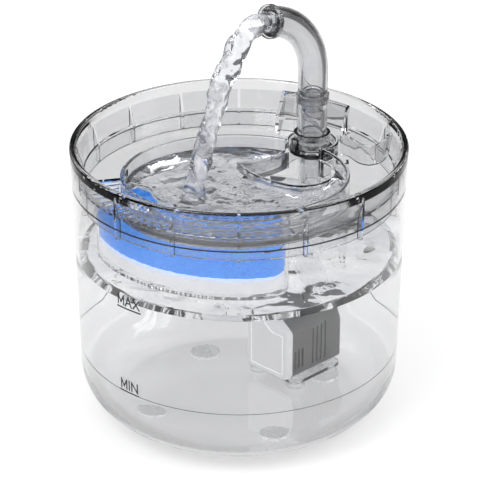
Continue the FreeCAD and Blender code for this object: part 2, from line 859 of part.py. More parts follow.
def make_bushes():
    z = pump_axis_z
    back = can_floor_x
    front_bush = rod(bush_r, partition_x, chamber_x, z=z).cut(rod(shaft_r, partition_x, chamber_x, z=z))
    back_bush = rod(bush_r, back, back + bush_length, z=z)
    back_bush = back_bush.cut(rod(shaft_r, back - 1, back + bush_length + 1, z=z))
    return placed(Part.Compound([front_bush, back_bush]))


def make_impeller():
    z = pump_axis_z
    start = chamber_x + impeller_clear
    hub = rod(hub_r, start, can_x + rotor_clear, z=z)
    end = can_x - impeller_clear
    disc = rod(impeller_r, end - impeller_disc, end, z=z)
    blades = []
    for index in range(blade_count):
        blade = box((start, 0, -blade_thick / 2), (end - blade_bury, impeller_r, blade_thick / 2))
        blade.rotate(Vector(0, 0, 0), Vector(1, 0, 0), 360 / blade_count * index)
        blade.translate(Vector(0, 0, z))
        blades.append(blade)
    wheel = joined([hub, disc] + blades)
    return placed(wheel.cut(rod(shaft_r + bush_clear, start - 1, can_x + 2, z=z)))


def make_rotor_magnet():
    z = pump_axis_z
    start = can_x + rotor_clear
    end = can_floor_x - rotor_clear
    magnet = rod(can_r - rotor_clear, start, end, z=z)
    return placed(magnet.cut(rod(shaft_r + bush_clear, start, end, z=z)))


def make_stator_core():
    z = pump_axis_z
    start = can_x + can_wall + core_clear
    end = housing_back - coil_thick - 2 * core_clear
    core = pump_block(start, end, housing_wall + core_clear)
    return placed(core.cut(rod(can_r + can_wall + core_clear, start - 1, end + 1, z=z)))


def make_coil():
    z = pump_axis_z
    end = housing_back - core_clear
    coil = rod(pump_half_y - housing_wall - coil_inset, end - coil_thick, end, z=z)
    coil = coil.cut(rod(can_r + can_wall + core_clear, end - coil_thick, end, z=z))
    return placed(coil)


def gland_height():
    return pump_top_z - gland_drop


def make_back_plate():
    plate = pump_block(housing_back, pump_half_x)
    back_edges = [e for e in plate.Edges if abs(e.BoundBox.XMin - pump_half_x) < 1e-6]
    plate = plate.makeFillet(back_plate_round, back_edges)
    return placed(plate.cut(rod(gland_r, housing_back - 1, pump_half_x + 1, z=gland_height())))


def make_gland():
    z = gland_height()
    body = rod(gland_r, housing_back, pump_half_x, z=z)
    root = Vector(pump_half_x, 0, z)
    cone = Part.makeCone(gland_r + gland_flare, gland_r - gland_flare, gland_length, root, Vector(1, 0, 0))
    gland = body.fuse(cone)
    return placed(gland.cut(rod(gland_bore_r, housing_back - 1, pump_half_x + gland_length + 1, z=z)))


def cup_places():
    spread_x = plate_half_x - cup_inset
    spread_y = plate_half_y - cup_inset
    return [(sx * spread_x, sy * spread_y) for sx in (-1, 1) for sy in (-1, 1)]


def make_foot_plate():
    low = pump_base_z - plate_thick
    plate = box((-plate_half_x, -plate_half_y, low), (plate_half_x, plate_half_y, pump_base_z))
    plate = plate.makeFillet(plate_corner, edges_at(plate, 0, upright=True))
    for x, y in cup_places():
        plate = plate.cut(cylinder(cup_neck_r, low - 1, pump_base_z + 1, x, y))
    return placed(plate)


def make_cups():
    low = tank_floor_z
    under = pump_base_z - plate_thick
    cups = []
    for x, y in cup_places():
        skirt_height = under - low - cup_lip
        skirt = Part.makeCone(cup_r, cup_neck_r + cup_flare, skirt_height, Vector(x, y, low + cup_lip))
        lip = cylinder(cup_r, low, low + cup_lip, x, y)
        neck = cylinder(cup_neck_r, under - cup_bury, pump_base_z, x, y)
        hollow = Part.makeCone(cup_r - cup_wall, cup_wall, under - low - cup_roof, Vector(x, y, low))
        cups.append(placed(skirt.fuse(lip).fuse(neck).cut(hollow).removeSplitter()))
    return Part.Compound(cups)


def export(name, shape):
    solids = shape.Solids
    for solid in solids:
        if not solid.isValid():
            raise RuntimeError(name + " has an invalid solid")
    print(name, len(solids), "solid(s)", round(sum(s.Volume for s in solids), 1), "mm3")
    (solids[0] if len(solids) == 1 else Part.Compound(solids)).exportStep("parts/" + name + ".step")


def main():
    os.makedirs("parts", exist_ok=True)
    cotton_z = filter_floor_z + pad_clear
    foam_z = cotton_z + cotton_thick
    export("tank", make_tank())
    export("tank_feet", make_feet())
    export("drinking_tray", make_tray())
    export("filter_box", make_filter_box())
    export("filter_cotton_pad", make_pad(cotton_z, cotton_thick))
    export("filter_foam_pad", make_pad(foam_z, foam_thick))
    export("faucet_socket", make_socket())
    export("riser_tube", make_riser())
    export("riser_seal", make_riser_seal())
    export("spout_collar", make_collar())
    export("spout_gooseneck", make_gooseneck())
    export("spout_seal", make_spout_seal())
    export("outlet_ring", make_mouth_ring())
    export("outlet_nozzle", make_nozzle())
    export("supply_tube", make_supply_tube())
    export("pump_housing", make_housing())
    export("pump_front_cover", make_front_cover())
    export("pump_intake_foam", make_intake_foam())
    export("pump_volute_cover", make_volute_cover())
    export("pump_impeller", make_impeller())
    export("pump_rotor_magnet", make_rotor_magnet())
    export("pump_shaft", make_shaft())
    export("pump_shaft_bushes", make_bushes())
    export("pump_stator_core", make_stator_core())
    export("pump_coil", make_coil())
    export("pump_back_plate", make_back_plate())
    export("pump_cable_gland", make_gland())
    export("pump_foot_plate", make_foot_plate())
    export("pump_suction_cups", make_cups())


main()
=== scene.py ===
"""Dressed model of a clear round pet water fountain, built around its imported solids."""

import json
import logging
import math
from dataclasses import dataclass
from enum import Enum
from typing import Any, Callable, Sequence, Union

import bpy
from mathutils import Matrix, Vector, noise

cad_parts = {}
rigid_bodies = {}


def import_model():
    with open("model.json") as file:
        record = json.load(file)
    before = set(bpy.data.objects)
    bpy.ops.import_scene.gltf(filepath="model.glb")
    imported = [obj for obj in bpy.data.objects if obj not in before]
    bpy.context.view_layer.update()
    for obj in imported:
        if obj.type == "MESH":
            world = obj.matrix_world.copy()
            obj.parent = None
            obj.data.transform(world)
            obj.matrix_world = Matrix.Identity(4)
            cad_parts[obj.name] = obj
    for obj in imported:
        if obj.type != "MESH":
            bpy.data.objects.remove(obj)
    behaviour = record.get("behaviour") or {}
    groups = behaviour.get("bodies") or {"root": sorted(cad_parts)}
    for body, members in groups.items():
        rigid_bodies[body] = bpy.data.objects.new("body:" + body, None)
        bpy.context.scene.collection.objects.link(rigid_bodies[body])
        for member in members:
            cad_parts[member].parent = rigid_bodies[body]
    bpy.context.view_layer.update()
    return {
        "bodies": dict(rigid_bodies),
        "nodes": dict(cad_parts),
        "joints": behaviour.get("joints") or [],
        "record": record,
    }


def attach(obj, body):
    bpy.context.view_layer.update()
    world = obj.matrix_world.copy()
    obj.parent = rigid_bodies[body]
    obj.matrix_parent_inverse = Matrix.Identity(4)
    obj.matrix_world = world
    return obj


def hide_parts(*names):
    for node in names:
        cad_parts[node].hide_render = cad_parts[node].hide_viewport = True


LOG = logging.getLogger("fountain")
MM = 0.001
WELD = 1e-6
LOOSE_WELD = 1e-5

# Sockets of a Mix node that mixes colours.
MIX_SHARE, MIX_FIRST, MIX_SECOND, MIX_RESULT = 0, 6, 7, 2

Colour = Stretch = tuple[float, float, float]
Point = Pair = tuple[float, float]
Piece = bpy.types.Object
Material = bpy.types.Material
Number = Union[float, "Value"]
Place = Callable[[float, float], Vector]


class Value:
    """A number socket of a node tree, with arithmetic that adds Math nodes."""

    def __init__(self, nodes: "Nodes", socket: Any) -> None:
        """Wraps one output socket of a node tree."""
        self.nodes = nodes
        self.socket = socket

    def math(self, operation: str, *others: Number) -> "Value":
        """Adds a Math node on this value."""
        node = self.nodes.add("ShaderNodeMath", {"operation": operation}, [self, *others])
        return Value(self.nodes, node.outputs[0])

    def __add__(self, other: Number) -> "Value":
        """Sum of two numbers."""
        return self.math("ADD", other)

    def __mul__(self, other: Number) -> "Value":
        """Product of two numbers."""
        return self.math("MULTIPLY", other)

    def __sub__(self, other: Number) -> "Value":
        """Difference of two numbers."""
        return self.math("SUBTRACT", other)

    def spread(self, low: float, high: float) -> "Value":
        """Maps 0 to 1 onto a range of numbers."""
        return self * (high - low) + low

    def step(self, low: float, high: float) -> "Value":
        """Maps a range onto 0 to 1 and holds it there."""
        slope = (self - low) * (1.0 / (high - low))
        return slope.math("MAXIMUM", 0.0).math("MINIMUM", 1.0)


class Nodes:
    """A node tree under construction."""

    def __init__(self, tree: bpy.types.NodeTree) -> None:
        """Empties the tree of a material or a world."""
        self.tree = tree
        self.tree.nodes.clear()

    def feed(self, socket: Any, value: Any) -> None:
        """Links a value to a socket, or sets it there.

        Args:
            socket: The input socket.
            value: A link, a number or a colour.
        """
        if isinstance(value, Value):
            value = value.socket
        if isinstance(value, bpy.types.NodeSocket):
            self.tree.links.new(value, socket)
        elif isinstance(value, tuple) and len(value) == 3 and socket.type == "RGBA":
            socket.default_value = (*value, 1.0)
        else:
            socket.default_value = value

    def add(self, kind: str, settings: dict[str, Any] | None = None, inputs: Any = ()) -> Any:
        """Adds one node, with its settings made before its sockets.

        Args:
            kind: The node's type.
            settings: Properties of the node.
            inputs: Values or links, as a list or by socket.

        Returns:
            The node.
        """
        node = self.tree.nodes.new(kind)
        for name, value in (settings or {}).items():
            setattr(node, name, value)
        pairs = inputs.items() if isinstance(inputs, dict) else enumerate(inputs)
        for key, value in pairs:
            self.feed(node.inputs[key], value)
        return node

    def ray(self, kind: str) -> Value:
        """1 for rays of one kind, as the Light Path node names it, and 0 for others."""
        return Value(self, self.add("ShaderNodeLightPath").outputs[f"Is {kind} Ray"])

    def bent_ray(self) -> Value:
        """1 for rays that a piece has mirrored or let through, and 0 for others."""
        return self.ray("Transmission").math("MAXIMUM", self.ray("Glossy"))

    def mix_shaders(self, share: Number, first: Any, second: Any) -> Any:
        """Mixes two shader nodes, with a share of the second."""
        return self.add("ShaderNodeMixShader", None, [share, first.outputs[0], second.outputs[0]])


class Shader(Nodes):
    """A material under construction."""

    def __init__(self, name: str) -> None:
        """Makes an empty node material.

        Args:
            name: The material's name.
        """
        self.material = bpy.data.materials.new(name)
        self.material.use_nodes = True
        super().__init__(self.material.node_tree)
        self.surface = self.add("ShaderNodeBsdfPrincipled")
        self.output = self.add("ShaderNodeOutputMaterial")
        self.show(self.surface)
        self.coordinates = self.add("ShaderNodeTexCoord")

    def show(self, node: Any) -> None:
        """Makes a shader node the one that is seen."""
        self.feed(self.output.inputs["Surface"], node.outputs[0])

    def set(self, **sockets: Any) -> None:
        """Feeds sockets of the surface; an underscore stands for a space."""
        for name, value in sockets.items():
            self.feed(self.surface.inputs[name.replace("_", " ")], value)

    def grain(self, scale: float, detail: float = 2.0, stretch: Stretch = (1, 1, 1)) -> Value:
        """Noise over the piece's own coordinates.

        Args:
            scale: Cells per metre.
            detail: Octaves of the noise.
            stretch: Scale along each axis.

        Returns:
            The noise, from 0 to 1.
        """
        point = self.coordinates.outputs["Object"]
        mapped = self.add("ShaderNodeMapping", None, {"Vector": point, "Scale": stretch})
        sockets = {"Vector": mapped.outputs[0], "Scale": scale, "Detail": detail}
        return Value(self, self.add("ShaderNodeTexNoise", None, sockets).outputs["Fac"])

    def cells(self, scale: float) -> Value:
        """Distance from the middle of round cells, so many a metre."""
        sockets = {"Vector": self.coordinates.outputs["Object"], "Scale": scale}
        return Value(self, self.add("ShaderNodeTexVoronoi", None, sockets).outputs["Distance"])

    def blend(self, mask: Value, first: Colour, second: Colour) -> Any:
        """Mixes two colours, with the mask as the share of the second."""
        sockets = {MIX_SHARE: mask, MIX_FIRST: first, MIX_SECOND: second}
        return self.add("ShaderNodeMix", {"data_type": "RGBA"}, sockets).outputs[MIX_RESULT]

    def tint(self, colour: Any, glow: float = 0.0) -> None:
        """Sets the surface's colour, and its glow of the same colour."""
        self.set(Base_Color=colour, Emission_Color=colour, Emission_Strength=glow)

    def relief(self, height: Value, roughness: Pair, depth: float, strength: float = 0.5) -> None:
        """Lets a pattern drive the surface's roughness and its bumps.

        Args:
            height: The pattern, about 0 to 1.
            roughness: Roughness at 0 and at 1.
            depth: Metres for a height of 1.
            strength: Share of the bumps.
        """
        self.set(Roughness=height.spread(*roughness))
        sockets = {"Strength": strength, "Distance": depth, "Height": height}
        self.set(Normal=self.add("ShaderNodeBump", None, sockets).outputs[0])


def dimmed(colour: Colour, share: float) -> Colour:
    """A colour at a share of its brightness."""
    return tuple(part * share for part in colour)


@dataclass(frozen=True)
class Finish:
    """A named material."""

    name: str

    def make(self) -> Material:
        """Builds the material."""
        shader = Shader(self.name)
        self.paint(shader)
        return shader.material

    def paint(self, shader: Shader) -> None:
        """Wires the finish into a shader."""
        raise NotImplementedError


@dataclass(frozen=True)
class ClearPlastic(Finish):
    """Polished clear plastic with a faint moulding swirl."""

    colour: Colour
    index: float = 1.49
    pale_step: float = 0.03
    roughness: Pair = (0.015, 0.035)
    swirl_scale: float = 22.0
    swirl_depth: float = 0.00004
    swirl_strength: float = 0.3

    def paint(self, shader: Shader) -> None:
        """Wires the finish."""
        swirl = shader.grain(self.swirl_scale, 1.0)
        pale = tuple(min(1.0, part + self.pale_step) for part in self.colour)
        shader.set(Base_Color=shader.blend(swirl, self.colour, pale))
        shader.set(IOR=self.index, Transmission_Weight=1.0)
        shader.relief(swirl, self.roughness, self.swirl_depth, self.swirl_strength)


@dataclass(frozen=True)
class Water(Finish):
    """Clear water with fine wavelets and, if asked for, patches of painted shade in a darker tint."""

    wavelet: float
    wave_scale: float = 120.0
    colour: Colour = (0.965, 0.975, 0.985)
    index: float = 1.33
    shade_patch: Colour | None = None
    patch_scale: float = 26.0
    patch_stretch: Stretch = (1.0, 1.6, 1.0)
    patch_edge: Pair = (0.48, 0.62)
    deep_share: float = 0.97
    roughness: Pair = (0.0, 0.02)

    def paint(self, shader: Shader) -> None:
        """Wires the finish."""
        waves = shader.grain(self.wave_scale)
        if self.shade_patch:
            # Painted shade: darker patches stand in for the shading of the water's surface.
            shade_patches = shader.grain(self.patch_scale, 3.0, self.patch_stretch)
            tint = shader.blend(shade_patches.step(*self.patch_edge), self.colour, self.shade_patch)
        else:
            tint = shader.blend(waves, self.colour, dimmed(self.colour, self.deep_share))
        shader.set(Base_Color=tint, IOR=self.index, Transmission_Weight=1.0)
        shader.relief(waves, self.roughness, self.wavelet)


@dataclass(frozen=True)
class FallingWater(Finish):
    """Broken, airy water: clear where it is smooth and white where it is torn."""

    colour: Colour = (0.93, 0.94, 0.97)
    index: float = 1.33
    roughness: Pair = (0.0, 0.06)
    streak_scale: float = 170.0
    streak_stretch: Stretch = (1.0, 1.0, 0.3)
    streak_depth: float = 0.0012
    streak_strength: float = 0.8
    torn_edge: Pair = (0.48, 0.66)
    white: Colour = (0.93, 0.94, 0.99)
    white_share: float = 0.35
    white_roughness: float = 0.35
    white_coat: float = 0.6

    def paint(self, shader: Shader) -> None:
        """Wires the finish."""
        streaks = shader.grain(self.streak_scale, 3.0, self.streak_stretch)
        shader.set(Base_Color=self.colour, IOR=self.index, Transmission_Weight=1.0)
        shader.relief(streaks, self.roughness, self.streak_depth, self.streak_strength)
        gloss = {"Roughness": self.white_roughness, "Coat Weight": self.white_coat}
        airy = shader.add("ShaderNodeBsdfPrincipled", None, {"Base Color": self.white, **gloss})
        torn = streaks.step(*self.torn_edge) * self.white_share
        shader.show(shader.mix_shaders(torn, shader.surface, airy))


@dataclass(frozen=True)
class Silicone(Finish):
    """Milky soft silicone, with a faint glow that is painted light."""

    colour: Colour = (0.96, 0.965, 0.97)
    dull_share: float = 0.95
    # Painted light: a faint glow of the silicone's own colour.
    glow: float = 0.10
    index: float = 1.41
    clearness: float = 0.85
    roughness: Pair = (0.22, 0.34)
    haze_scale: float = 300.0
    haze_depth: float = 0.00005
    haze_strength: float = 0.4

    def paint(self, shader: Shader) -> None:
        """Wires the finish."""
        haze = shader.grain(self.haze_scale, 3.0)
        shader.tint(shader.blend(haze, self.colour, dimmed(self.colour, self.dull_share)), self.glow)
        shader.set(IOR=self.index, Transmission_Weight=self.clearness)
        shader.relief(haze, self.roughness, self.haze_depth, self.haze_strength)


@dataclass(frozen=True)
class Moulded(Finish):
    """Opaque moulded plastic with a fine spark texture; a glow, where one is given, is painted light."""

    colour: Colour
    roughness: Pair = (0.36, 0.50)
    # Glow of the surface's own colour: painted light wherever it is above 0.
    glow: float = 0.0
    worn_share: float = 0.93
    cloud_scale: float = 30.0
    spark_scale: float = 2600.0
    spark_depth: float = 0.00003

    def paint(self, shader: Shader) -> None:
        """Wires the finish."""
        spark = shader.grain(self.spark_scale)
        cloud = shader.grain(self.cloud_scale)
        shader.tint(shader.blend(cloud, self.colour, dimmed(self.colour, self.worn_share)), self.glow)
        shader.relief(spark, self.roughness, self.spark_depth)


@dataclass(frozen=True)
class OpenFoam(Finish):
    """Open-cell foam: round pores between thin walls, with painted shade in the pores and a glow, where one
    is given, that is painted light.
    """

    wall: Colour
    shaded_pore: Colour
    pores_per_metre: float = 900.0
    # Glow of the foam's colours: painted light wherever it is above 0.
    glow: float = 0.0
    pore_edge: Pair = (0.15, 0.55)
    pore_share: float = 0.75
    pore_depth: float = 0.0004
    pore_strength: float = 0.7
    cloud_scale: float = 60.0
    roughness: Pair = (0.95, 0.75)

    def paint(self, shader: Shader) -> None:
        """Wires the finish."""
        depth = shader.cells(self.pores_per_metre).step(*self.pore_edge)
        cloud = shader.grain(self.cloud_scale, 3.0)
        # Painted shade in the pore hollows, mixed with random clouding of the tone.
        shade_and_tone = depth * self.pore_share + cloud * (1.0 - self.pore_share)
        shader.tint(shader.blend(shade_and_tone, self.shaded_pore, self.wall), self.glow)
        shader.relief(depth, self.roughness, self.pore_depth, self.pore_strength)


@dataclass(frozen=True)
class Wadding(Finish):
    """White felted filter cotton, with a glow that is painted light."""

    bright: Colour = (0.95, 0.955, 0.96)
    dull: Colour = (0.80, 0.81, 0.83)
    # Painted light: the cotton glows in its own colour.
    glow: float = 0.62
    fibre_scale: float = 900.0
    fibre_detail: float = 4.0
    fibre_stretch: float = 0.25
    fibre_edge: Pair = (0.35, 0.6)
    fibre_depth: float = 0.0005
    fibre_strength: float = 0.6
    roughness: Pair = (0.8, 1.0)

    def paint(self, shader: Shader) -> None:
        """Wires the finish."""
        lengthwise = shader.grain(self.fibre_scale, self.fibre_detail, (1.0, self.fibre_stretch, 1.0))
        crosswise = shader.grain(self.fibre_scale, self.fibre_detail, (self.fibre_stretch, 1.0, 1.0))
        felt = lengthwise * 0.5 + crosswise * 0.5
        shader.tint(shader.blend(felt.step(*self.fibre_edge), self.dull, self.bright), self.glow)
        shader.relief(felt, self.roughness, self.fibre_depth, self.fibre_strength)


@dataclass(frozen=True)
class Metal(Finish):
    """Plain metal with drawn or wound lines along one axis."""

    colour: Colour
    stretch: Stretch
    roughness: Pair = (0.24, 0.44)
    dark_share: float = 0.72
    line_scale: float = 1400.0
    line_depth: float = 0.00004

    def paint(self, shader: Shader) -> None:
        """Wires the finish."""
        lines = shader.grain(self.line_scale, 2.0, self.stretch)
        tint = shader.blend(lines, self.colour, dimmed(self.colour, self.dark_share))
        shader.set(Base_Color=tint, Metallic=1.0)
        shader.relief(lines, self.roughness, self.line_depth)


@dataclass(frozen=True)
class Ink(Finish):
    """Printed ink with slightly uneven cover."""

    colour: Colour = (0.012, 0.012, 0.014)
    thin_step: float = 0.02
    thin_edge: Pair = (0.5, 0.8)
    roughness: Pair = (0.35, 0.5)
    cover_scale: float = 1500.0
    cover_depth: float = 0.00002
    cover_strength: float = 0.3

    def paint(self, shader: Shader) -> None:
        """Wires the finish."""
        cover = shader.grain(self.cover_scale, 3.0)
        thin = tuple(part + self.thin_step for part in self.colour)
        shader.set(Base_Color=shader.blend(cover.step(*self.thin_edge), self.colour, thin))
        shader.relief(cover, self.roughness, self.cover_depth, self.cover_strength)


def clear_selection() -> None:
    """Leaves edit mode and deselects every object."""
    if bpy.context.object and bpy.context.object.mode != "OBJECT":
        bpy.ops.object.mode_set(mode="OBJECT")
    bpy.ops.object.select_all(action="DESELECT")


def pick(piece: Piece) -> None:
    """Selects one piece alone and makes it the active one.

    Args:
        piece: The piece.
    """
    clear_selection()
    piece.select_set(True)
    bpy.context.view_layer.objects.active = piece


def wrapped_grid(name: str, rows: int, columns: int, place: Place) -> Piece:
    """Adds a grid and moves each of its points onto a surface.

    Args:
        name: The new piece's name.
        rows: Cells along the first parameter.
        columns: Cells along the second parameter.
        place: Point of the surface for both parameters, each from 0 to 1.

    Returns:
        The piece, with its doubles merged and its faces outwards.
    """
    clear_selection()
    bpy.ops.mesh.primitive_grid_add(x_subdivisions=rows, y_subdivisions=columns, size=1.0)
    piece = bpy.context.object
    piece.name = name
    for vertex in piece.data.vertices:
        vertex.co = place(vertex.co.x + 0.5, vertex.co.y + 0.5)
    tidy_mesh(piece)
    return piece


def tidy_mesh(piece: Piece, threshold: float = WELD) -> None:
    """Merges doubles, turns the faces outwards and shades the piece smooth.

    Args:
        piece: The piece.
        threshold: Distance under which points merge.
    """
    pick(piece)
    bpy.ops.object.mode_set(mode="EDIT")
    bpy.ops.mesh.select_all(action="SELECT")
    bpy.ops.mesh.remove_doubles(threshold=threshold)
    bpy.ops.mesh.dissolve_degenerate(threshold=threshold)
    bpy.ops.mesh.select_all(action="SELECT")
    bpy.ops.mesh.normals_make_consistent(inside=False)
    bpy.ops.object.mode_set(mode="OBJECT")
    bpy.ops.object.shade_smooth()
    piece.select_set(False)


def apply_modifier(piece: Piece, kind: str, **settings: Any) -> None:
    """Adds a modifier and applies it.

    Args:
        piece: The piece.
        kind: The modifier's type.
        settings: Its settings.
    """
    pick(piece)
    modifier = piece.modifiers.new(kind.lower(), kind)
    for key, value in settings.items():
        setattr(modifier, key, value)
    bpy.ops.object.modifier_apply(modifier=modifier.name)
    piece.select_set(False)


def dress(piece: Piece, material: Material) -> None:
    """Gives a piece one material and reports it.

    Args:
        piece: The piece.
        material: The material.
    """
    piece.data.materials.clear()
    piece.data.materials.append(material)
    LOG.info("%s is dressed in %s", piece.name, material.name)


def seat(piece: Piece, material: Material, body: str, slot: str) -> None:
    """Dresses a piece and makes it ride on a body.

    Args:
        piece: The piece.
        material: The material.
        body: The body that carries it.
        slot: The record's material slot; not used.
    """
    dress(piece, material)
    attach(piece, body)
    LOG.info("%s rides on %s", piece.name, body)


def held(share: float) -> float:
    """Holds a number between 0 and 1."""
    return min(max(share, 0.0), 1.0)


def ring_wave(far: float, length: float, height: float, fade: float) -> float:
    """Height of fading ring waves, at a distance from where they start."""
    return math.sin(far / length) * height * math.exp(-far / fade)


def arc_points(first: Point, middle: Point, last: Point, count: int) -> list[Point]:
    """Points of the arc through three points.

    Args:
        first: Where it starts.
        middle: A point on it.
        last: Where it ends.
        count: Number of stretches.

    Returns:
        The points, both ends included.
    """
    ax, ay = first
    bx, by = middle
    cx, cy = last
    d = 2 * (ax * (by - cy) + bx * (cy - ay) + cx * (ay - by))
    a2, b2, c2 = ax * ax + ay * ay, bx * bx + by * by, cx * cx + cy * cy
    ux = (a2 * (by - cy) + b2 * (cy - ay) + c2 * (ay - by)) / d
    uy = (a2 * (cx - bx) + b2 * (ax - cx) + c2 * (bx - ax)) / d
    radius = math.hypot(ax - ux, ay - uy)
    start = math.atan2(ay - uy, ax - ux)
    via = math.atan2(by - uy, bx - ux)
    end = math.atan2(cy - uy, cx - ux)
    turn = (end - start) % (2 * math.pi)
    if (via - start) % (2 * math.pi) > turn:
        turn -= 2 * math.pi
    angles = [start + turn * i / count for i in range(count + 1)]
    return [(ux + radius * math.cos(angle), uy + radius * math.sin(angle)) for angle in angles]


@dataclass
class Spout:
    """Place and bend of the gooseneck, and the water that leaves it.

    Shares run along the water, from 0 inside the nozzle to 1 at the bowl.
    """

    x: float = 39.5 * MM
    y: float = 20.0 * MM
    bend_start: float = 186.0 * MM
    bend_radius: float = 36.0 * MM
    bend_angle: float = math.radians(80.0)
    heading: float = math.radians(221.3)
    nozzle_reach: float = 5.2 * MM
    landing_x: float = -24.0 * MM
    landing_y: float = -37.0 * MM
    landing_z: float = 138.6 * MM
    inside: float = 9.0 * MM
    early_run: float = 0.6
    inner_share: float = 0.12
    wide_share: float = 0.2
    narrow_share: float = 0.85
    bore_fill: float = 3.9 * MM
    wide: float = 5.9 * MM
    narrow: float = 4.6 * MM
    foot: float = 6.4 * MM
    rows: int = 150
    sides: int = 36
    cap_share: float = 0.02
    look_ahead: float = 0.01
    seed_scale: float = 120.0
    ring_seed: float = 0.9
    tear_scale: float = 0.9
    tear: float = 0.36
    crinkle_scale: float = 2.2
    crinkle: float = 0.16
    twist_turns: float = 34.0
    twist: float = 0.05
    tear_rise: float = 8.0

    def look(self) -> Vector:
        """Level direction that the spout points in."""
        return Vector((math.cos(self.heading), math.sin(self.heading), 0.0))

    def mouth(self) -> Vector:
        """Centre of the spout's mouth."""
        base = Vector((self.x, self.y, self.bend_start))
        run = self.bend_radius * (1.0 - math.cos(self.bend_angle))
        return base + self.look() * run + Vector((0, 0, self.bend_radius * math.sin(self.bend_angle)))

    def out(self) -> Vector:
        """Direction that the water leaves in."""
        return self.look() * math.sin(self.bend_angle) + Vector((0, 0, math.cos(self.bend_angle)))

    def path(self, share: float) -> Vector:
        """Centre line of the falling water.

        Args:
            share: The place along the water.

        Returns:
            The point of the centre line.
        """
        mouth = self.mouth() + self.out() * self.nozzle_reach
        start = mouth - self.out() * self.inside
        if share < self.inner_share:
            return start.lerp(mouth, share / self.inner_share)
        t = (share - self.inner_share) / (1.0 - self.inner_share)
        run = Vector((self.landing_x - mouth.x, self.landing_y - mouth.y, 0.0))
        rise = math.tan(math.pi / 2 - self.bend_angle) * run.length
        drop = mouth.z - self.landing_z + rise
        reach = t * (1.0 + self.early_run - self.early_run * t)
        return mouth + run * reach + Vector((0, 0, rise * reach - drop * reach * reach))

    def girth(self, share: float) -> float:
        """Radius of the falling water.

        Args:
            share: The place along the water.

        Returns:
            The radius in metres.
        """
        if share < self.inner_share:
            return self.bore_fill
        if share < self.wide_share:
            part = (share - self.inner_share) / (self.wide_share - self.inner_share)
            return self.bore_fill + (self.wide - self.bore_fill) * part
        if share < self.narrow_share:
            part = (share - self.wide_share) / (self.narrow_share - self.wide_share)
            return self.wide + (self.narrow - self.wide) * part
        part = (share - self.narrow_share) / (1.0 - self.narrow_share)
        return self.narrow + (self.foot - self.narrow) * part**2

    def build(self) -> Piece:
        """Models the falling water as one torn, rippled rope."""

        def place(along: float, around: float) -> Vector:
            """Point of the stream's skin."""
            share = held((along - self.cap_share) / (1.0 - 2.0 * self.cap_share))
            centre = self.path(share)
            if along in (0.0, 1.0):
                return centre
            before = self.path(max(share - self.look_ahead, 0.0))
            ahead = (self.path(min(share + self.look_ahead, 1.0)) - before).normalized()
            side = ahead.cross(Vector((0, 0, 1))).normalized()
            up = side.cross(ahead)
            angle = 2 * math.pi * around
            ring = side * math.cos(angle) + up * math.sin(angle)
            free = held((share - self.inner_share) * self.tear_rise)
            seed = centre * self.seed_scale + ring * self.ring_seed
            tear = noise.noise(seed * self.tear_scale) * self.tear
            tear += noise.noise(seed * self.crinkle_scale) * self.crinkle
            twist = math.sin(3 * angle + share * self.twist_turns) * self.twist
            return centre + ring * self.girth(share) * (1.0 + free * (tear + twist))

        return wrapped_grid("water_stream", self.rows, self.sides, place)

    def dress(self, piece: Piece) -> None:
        """Gives the stream its finish and body."""
        seat(piece, FallingWater("falling_water").make(), "spout", "clear_tube")


# Outline of the island in millimetres: two arcs along its front, its straight back, and its wall's arc.
ISLAND_FRONT = (
    ((-1.0, 4.0), (11.0, -15.0), (30.0, -26.0)),
    ((30.0, -26.0), (46.0, -20.0), (51.0, -6.0)),
)
ISLAND_BACK = ((51.0, -6.0), (51.0, 26.0), (25.0, 26.0))
ISLAND_WALL = ((25.0, 20.0), (15.0, 10.0), (-1.0, 4.0))


